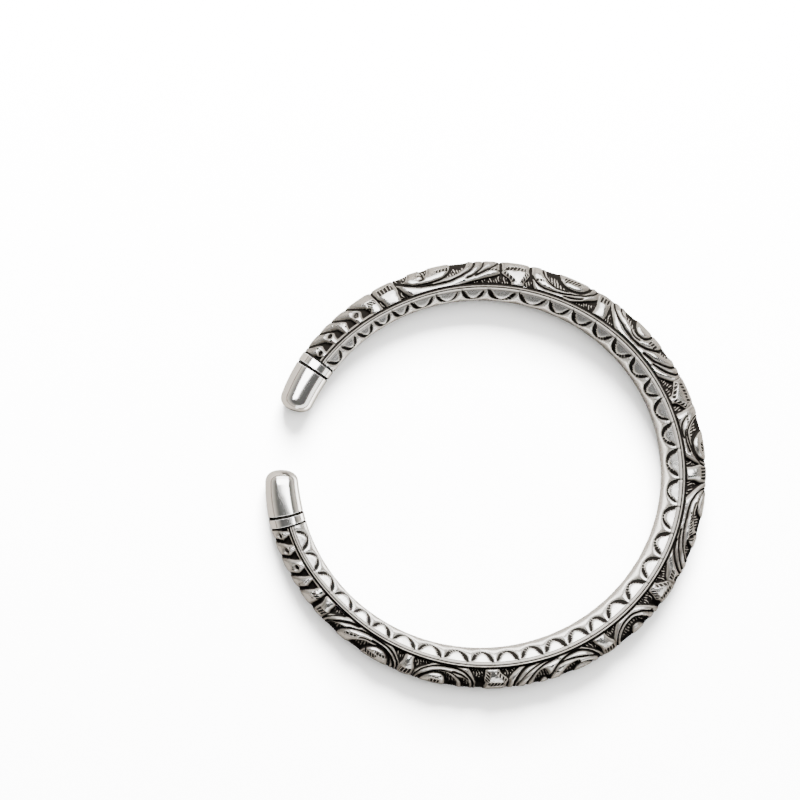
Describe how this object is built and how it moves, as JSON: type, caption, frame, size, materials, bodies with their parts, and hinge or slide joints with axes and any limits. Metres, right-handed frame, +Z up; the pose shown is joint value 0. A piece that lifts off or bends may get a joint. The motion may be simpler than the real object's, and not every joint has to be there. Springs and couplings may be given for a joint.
{
  "type": "ankle bangle",
  "caption": "Open round silver ankle bangle: hollow tube chased with scrolls and leaves, smooth inner face between two rails, and a plain collar and domed cap at each end.",
  "frame": {"origin": "under the middle of the whole bangle, on the surface that it lies on", "axes": "+X from the gap between the caps to the back of the ring, +Y across the ring, +Z up through the ankle opening"},
  "size_m": [0.083, 0.0802, 0.0086],
  "materials": {
    "chased_silver": "chased silver, polished on the raised work and blackened in the recesses",
    "polished_silver": "plain mirror-polished silver"
  },
  "bodies": {
    "root": {"chased_tube": "chased_silver", "collar_left": "polished_silver", "cap_left": "polished_silver", "collar_right": "polished_silver", "cap_right": "polished_silver"}
  },
  "joints": []
}
